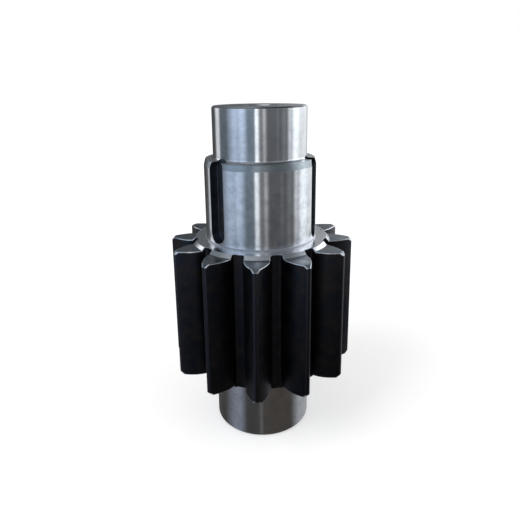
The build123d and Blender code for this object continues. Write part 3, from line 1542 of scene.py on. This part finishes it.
@dataclass
class Studio:
    """A pale floor, soft lamps and panels round the shaft that only show in its polish.

    Sizes are in metres. Turns are in degrees about the shaft, from the camera's side of it, and
    they grow towards the camera's right.
    """

    floor_half: float = 12.0
    floor_colour: Colour = (0.80, 0.80, 0.80)
    floor_roughness: float = 0.9
    floor_lifts: tuple[float, float] = (0.33, 0.62)
    lift_reach: tuple[float, float] = (0.35, 2.0)
    wall_radius: float = 1.15
    wall_height: float = 1.7
    wall_split: float = 1.0
    panels: tuple[Panel, ...] = (
        Panel(-180, -150, (0.95, 0.98, 1.0), 0.07),
        Panel(-140, -130, (0.95, 0.98, 1.0), 0.10),
        Panel(-121, -110, (0.95, 0.97, 1.0), 0.95),
        Panel(-105, -83, (0.72, 0.86, 1.0), 0.20),
        Panel(-62, -56, (0.66, 0.80, 1.0), 0.88),
        Panel(-53, -49, (0.66, 0.80, 1.0), 0.80),
        Panel(-45, -38, (0.66, 0.80, 1.0), 1.05),
        Panel(-27, -12, (0.66, 0.83, 1.0), 0.33),
        Panel(-9, -5, (0.92, 0.96, 1.0), 1.55),
        Panel(0, 6, (0.92, 0.96, 1.0), 0.27),
        Panel(9.5, 10.5, (0.98, 0.98, 1.0), 0.65),
        Panel(17, 38, (0.90, 0.94, 1.0), 0.15),
        Panel(41, 42, (0.90, 0.94, 1.0), 0.22),
        Panel(45, 51, (0.90, 0.94, 1.0), 0.16),
        Panel(55, 60, (0.92, 0.96, 1.0), 0.26),
        Panel(63, 66, (0.92, 0.96, 1.0), 0.20),
        Panel(72, 75, (0.92, 0.96, 1.0), 0.95),
        Panel(77, 79, (0.92, 0.96, 1.0), 0.75),
        Panel(87, 99, (0.92, 0.97, 1.0), 1.6),
        Panel(107, 112, (0.95, 0.98, 1.0), 1.15),
        Panel(119, 140, (0.95, 0.98, 1.0), 1.15),
        Panel(165, 172, (0.95, 0.98, 1.0), 0.20),
    )
    wall_rows: tuple[tuple[float, float], ...] = (
        (0.0, 1.2),
        (0.25, 1.08),
        (0.5, 1.12),
        (0.66, 2.3),
        (0.95, 2.2),
    )
    upper_colour: Colour = (0.34, 0.37, 0.41)
    upper_swing: float = 0.45
    upper_turn: float = 110.0
    ceiling_colour: Colour = (0.90, 0.96, 1.0)
    ceiling_glow: float = 0.35
    ceiling_swing: float = 0.7
    ceiling_turn: float = -90.0
    ceiling_hole: float = 0.01
    window_turn: float = 194.0
    window_spread: float = 18.0
    window_strength: float = 2.6
    card_radius: float = 0.079
    card_height: float = 0.0004
    card_share: float = 0.78
    card_panels: tuple[Panel, ...] = (
        Panel(-175, -105, (1.0, 0.97, 0.92), 0.08),
        Panel(-71, -56, (0.78, 0.83, 1.0), 0.38),
        Panel(-40, -9, (1.0, 0.97, 0.93), 0.07),
        Panel(-5, -4, (0.97, 0.98, 1.0), 0.16),
        Panel(2, 74, (1.0, 0.88, 0.78), 0.088),
        Panel(101, 110, (0.90, 0.96, 1.0), 0.52),
        Panel(130, 160, (0.95, 0.98, 1.0), 0.50),
    )
    card_spread: tuple[tuple[float, ...], tuple[float, ...]] = ((-180, -150, 150, 180), (-180, -74, 74, 180))
    lamps: tuple[Lamp, ...] = (
        Lamp("key_lamp", -55.0, 2.2, 2.4, 46.0, 1.8),
        Lamp("fill_lamp", 70.0, 2.4, 1.8, 22.0, 2.2),
    )
    lamp_aim_z: float = 0.25
    world_glow: float = 0.62

    def build(self, azimuth: float) -> list[bpy.types.Object]:
        """Make the floor, the wall of panels, the card, the ceiling, the lamps and the world.

        Args:
            azimuth: the camera's azimuth, in degrees, from which the panels are turned.

        Returns:
            The floor, the wall, the card and the ceiling.
        """
        pieces = [self.floor(), self.wall(azimuth), self.card(azimuth), self.ceiling(azimuth)]
        for lamp in self.lamps:
            self.light(lamp, azimuth)
        self.world()
        return pieces

    def floor(self) -> bpy.types.Object:
        """Make the floor, a level square.

        It glows a little to the camera, less beside the shaft, so that the shaft's shadow shows
        there and the floor runs into the white of the world further out.

        Returns:
            The floor.
        """
        half = self.floor_half
        mesh = bpy.data.meshes.new("studio_floor")
        corners = [(-half, -half, 0), (half, -half, 0), (half, half, 0), (-half, half, 0)]
        mesh.from_pydata(corners, [], [(0, 1, 2, 3)])
        material, tree = new_material("pale_floor")
        shader = tree.tree.nodes["Principled BSDF"]
        shader.inputs["Base Color"].default_value = (*self.floor_colour, 1.0)
        shader.inputs["Roughness"].default_value = self.floor_roughness
        shader.inputs["Specular IOR Level"].default_value = 0.0
        shader.inputs["Emission Color"].default_value = (1.0, 1.0, 1.0, 1.0)
        away = tree.add("ShaderNodeVectorMath", operation="LENGTH")
        tree.feed(away.inputs[0], tree.add("ShaderNodeTexCoord").outputs["Object"])
        lift = tree.spread(away.outputs["Value"], *self.lift_reach, *self.floor_lifts)
        tree.feed(shader.inputs["Emission Strength"], tree.math("MULTIPLY", seen(tree), lift))
        mesh.materials.append(material)
        return placed("studio_floor", mesh)

    def wall(self, azimuth: float) -> bpy.types.Object:
        """Make the wall of panels, an open drum that only mirrors see.

        Each panel is brighter in its upper part. Above the split the wall is a plain dim grey,
        lighter on one side.

        Args:
            azimuth: the camera's azimuth, in degrees.

        Returns:
            The wall.
        """
        rows = np.array(self.wall_rows)
        swing = self.upper_swing * leaning(self.upper_turn)
        upper = np.array(self.upper_colour) * (1.0 + swing[:, None])
        lower = rows[:, 1, None, None] * panel_shades(self.panels)
        colours = np.concatenate([lower, [upper, upper]])
        heights = np.concatenate([rows[:, 0], [self.wall_split, self.wall_height]])
        points = polar(self.wall_radius, panel_turns(azimuth), heights[:, None])
        return mirror_piece("studio_panels", points, colours)

    def card(self, azimuth: float) -> bpy.types.Object:
        """Make the round card on the floor, dim strips that only mirrors see.

        The strips run out from the lower journal in the directions in which it mirrors them, so
        that they show upright in it. From the card's share of the way out they turn into the
        wall's panels.

        Args:
            azimuth: the camera's azimuth, in degrees.

        Returns:
            The card.
        """
        inner = np.interp(PANEL_SIDES, *self.card_spread) - PANEL_SIDES
        turns = np.stack([panel_turns(azimuth) + np.radians(inner), panel_turns(azimuth)])
        radii = np.array([self.card_radius, self.wall_radius])
        inside, outside = polar(radii[:, None], turns, np.array(self.card_height))
        points = np.stack([inside, inside + self.card_share * (outside - inside), outside])
        strips = panel_shades(self.card_panels)
        rim = self.wall_rows[0][1] * panel_shades(self.panels)
        return mirror_piece("studio_card", points, np.stack([strips, strips, rim]))

    def ceiling(self, azimuth: float) -> bpy.types.Object:
        """Make the ceiling, a dim grey disc that only mirrors see.

        It is brighter on the left, and towards a window high behind the shaft it brightens as
        the bell curve of the angle from the window.

        Args:
            azimuth: the camera's azimuth, in degrees.

        Returns:
            The ceiling.
        """
        radii = np.array([self.ceiling_hole, self.wall_radius])
        glow = self.ceiling_glow * (1 + self.ceiling_swing * leaning(self.ceiling_turn))
        dim = glow[:, None] * np.array(self.ceiling_colour)
        away = (PANEL_ANGLES - self.window_turn) / self.window_spread
        window = self.window_strength * np.exp(-(away**2))[:, None]
        points = polar(radii[:, None], panel_turns(azimuth), np.array(self.wall_height))
        return mirror_piece("studio_ceiling", points, np.stack([dim, dim + window]))

    def light(self, lamp: Lamp, azimuth: float) -> None:
        """Make a lamp that looks at the shaft and doesn't show in its polish.

        Args:
            lamp: the lamp's size, place and power.
            azimuth: the camera's azimuth, in degrees.
        """
        data = bpy.data.lights.new(lamp.name, "AREA")
        data.energy = lamp.power
        data.size = lamp.side
        angle = math.radians(azimuth + lamp.turn)
        place = Vector((lamp.away * math.sin(angle), -lamp.away * math.cos(angle), lamp.height))
        piece = placed(lamp.name, data)
        piece.location = place
        piece.rotation_euler = (Vector((0, 0, self.lamp_aim_z)) - place).to_track_quat("-Z", "Y").to_euler()
        piece.visible_glossy = False

    def world(self) -> None:
        """Make a plain world that lights softly and is white to the camera and in mirrors."""
        world = bpy.data.worlds.new("studio_world")
        world.use_nodes = True
        tree = Nodes(world.node_tree)
        background = world.node_tree.nodes["Background"]
        background.inputs["Color"].default_value = (1.0, 1.0, 1.0, 1.0)
        glow = tree.spread(seen(tree), 0.0, 1.0, self.world_glow, 1.0)
        tree.feed(background.inputs["Strength"], glow)
        bpy.context.scene.world = world


def panel_shades(panels: tuple[Panel, ...]) -> Array:
    """The colour of each whole degree round the shaft, even between two panels.

    Args:
        panels: the panels, in the order of their angles.

    Returns:
        One colour for each of the panel angles.
    """
    places, colours = [], []
    for panel in panels:
        places += [panel.start, panel.end]
        colours += [np.array(panel.colour) * panel.strength] * 2
    parts = [np.interp(PANEL_SIDES, places, part, period=360) for part in np.array(colours).T]
    return np.stack(parts, axis=-1)


def panel_turns(azimuth: float) -> Array:
    """The panel angles as turns from +X, in radians, for a camera's azimuth in degrees."""
    return np.radians(PANEL_ANGLES + azimuth - 90)


def leaning(turn: float) -> Array:
    """The cosine of each panel angle's distance from a turn in degrees, 1 at the turn itself."""
    return np.cos(np.radians(PANEL_ANGLES - turn))


def mirror_piece(name: str, points: Array, colours: Array) -> bpy.types.Object:
    """Make a glowing sheet that only mirrors see.

    Args:
        name: the piece's name.
        points: the sheet's points, by rows.
        colours: the colour of each point.

    Returns:
        The piece.
    """
    rows, columns = points.shape[:2]
    mesh = bpy.data.meshes.new(name)
    mesh.from_pydata(points.reshape(-1, 3), [], grid_faces(rows, columns).tolist())
    shade = mesh.attributes.new("panel_light", "FLOAT_COLOR", "POINT")
    rgba = np.concatenate([colours.reshape(-1, 3), np.ones((rows * columns, 1))], axis=1)
    shade.data.foreach_set("color", rgba.astype(np.float32).ravel())
    material, tree = new_material(name)
    nodes = tree.tree.nodes
    nodes.remove(nodes["Principled BSDF"])
    light = tree.add("ShaderNodeEmission")
    attribute = tree.add("ShaderNodeAttribute", attribute_name="panel_light")
    tree.feed(light.inputs["Color"], attribute.outputs[0])
    tree.feed(nodes["Material Output"].inputs["Surface"], light.outputs[0])
    mesh.materials.append(material)
    piece = placed(name, mesh)
    piece.visible_camera = False
    piece.visible_diffuse = False
    piece.visible_shadow = False
    piece.visible_transmission = False
    return piece


def seen(tree: Nodes) -> Socket:
    """1 for what the camera sees, straight or through a mirror or glass, and 0 for light.

    Args:
        tree: the node tree to add to.

    Returns:
        The value's socket.
    """
    path = tree.add("ShaderNodeLightPath").outputs
    either = tree.math("MAXIMUM", path["Is Camera Ray"], path["Is Glossy Ray"])
    return tree.math("MAXIMUM", either, path["Is Transmission Ray"])


@dataclass(frozen=True)
class Viewpoint:
    """The camera of the photograph, from its place beside the shaft.

    The azimuth is in degrees and the other angles are in radians. The distance from the axis, the
    height and the nearest distance it sees are in metres. The focal length and the row of the
    picture's centre are in pixels of the photograph, and the sensor's width is in millimetres.
    """

    azimuth: float = 18.25
    distance: float = 0.75275
    height: float = 0.56828
    yaw: float = math.radians(-0.0657)
    pitch: float = math.radians(14.147)
    roll: float = math.radians(-0.698)
    focal_pixels: float = 472.53
    centre_row: float = 205.0
    sensor: float = 36.0
    nearest: float = 0.01

    def build(self) -> bpy.types.Object:
        """Make the camera.

        Its axes come from the direction it looks in, level right and up, turned by the roll.

        Returns:
            The camera.
        """
        forward = Vector(
            (
                math.sin(self.yaw) * math.cos(self.pitch),
                math.cos(self.yaw) * math.cos(self.pitch),
                -math.sin(self.pitch),
            )
        )
        right = forward.cross(Vector((0, 0, 1))).normalized()
        up = right.cross(forward)
        level = math.cos(self.roll), math.sin(self.roll)
        rolled_right = right * level[0] + up * level[1]
        rolled_up = up * level[0] - right * level[1]
        axes = Matrix((rolled_right, rolled_up, -forward)).transposed().to_4x4()
        place = Matrix.Translation(Vector((0, -self.distance, self.height)))
        data = bpy.data.cameras.new("photo_camera")
        data.sensor_width = self.sensor
        data.lens = self.focal_pixels / PHOTO_SIDE * self.sensor
        data.shift_y = (self.centre_row - PHOTO_SIDE / 2) / PHOTO_SIDE
        data.clip_start = self.nearest
        camera = placed("photo_camera", data)
        camera.matrix_world = Matrix.Rotation(math.radians(self.azimuth), 4, "Z") @ place @ axes
        bpy.context.scene.camera = camera
        return camera


def main() -> None:
    """Build the shaft, the studio and the camera."""
    logging.basicConfig(level=logging.INFO, format="%(name)s: %(message)s")
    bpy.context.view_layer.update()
    bpy.context.scene.view_settings.view_transform = "Standard"

    shaft = PinionShaft().build()
    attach(shaft, "root")
    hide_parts("pinion_gear")
    log.info("%s built", shaft.name)

    viewpoint = Viewpoint()
    for piece in Studio().build(viewpoint.azimuth):
        log.info("%s built", piece.name)
    log.info("%s built", viewpoint.build().name)


if __name__ == "__main__":
    main()
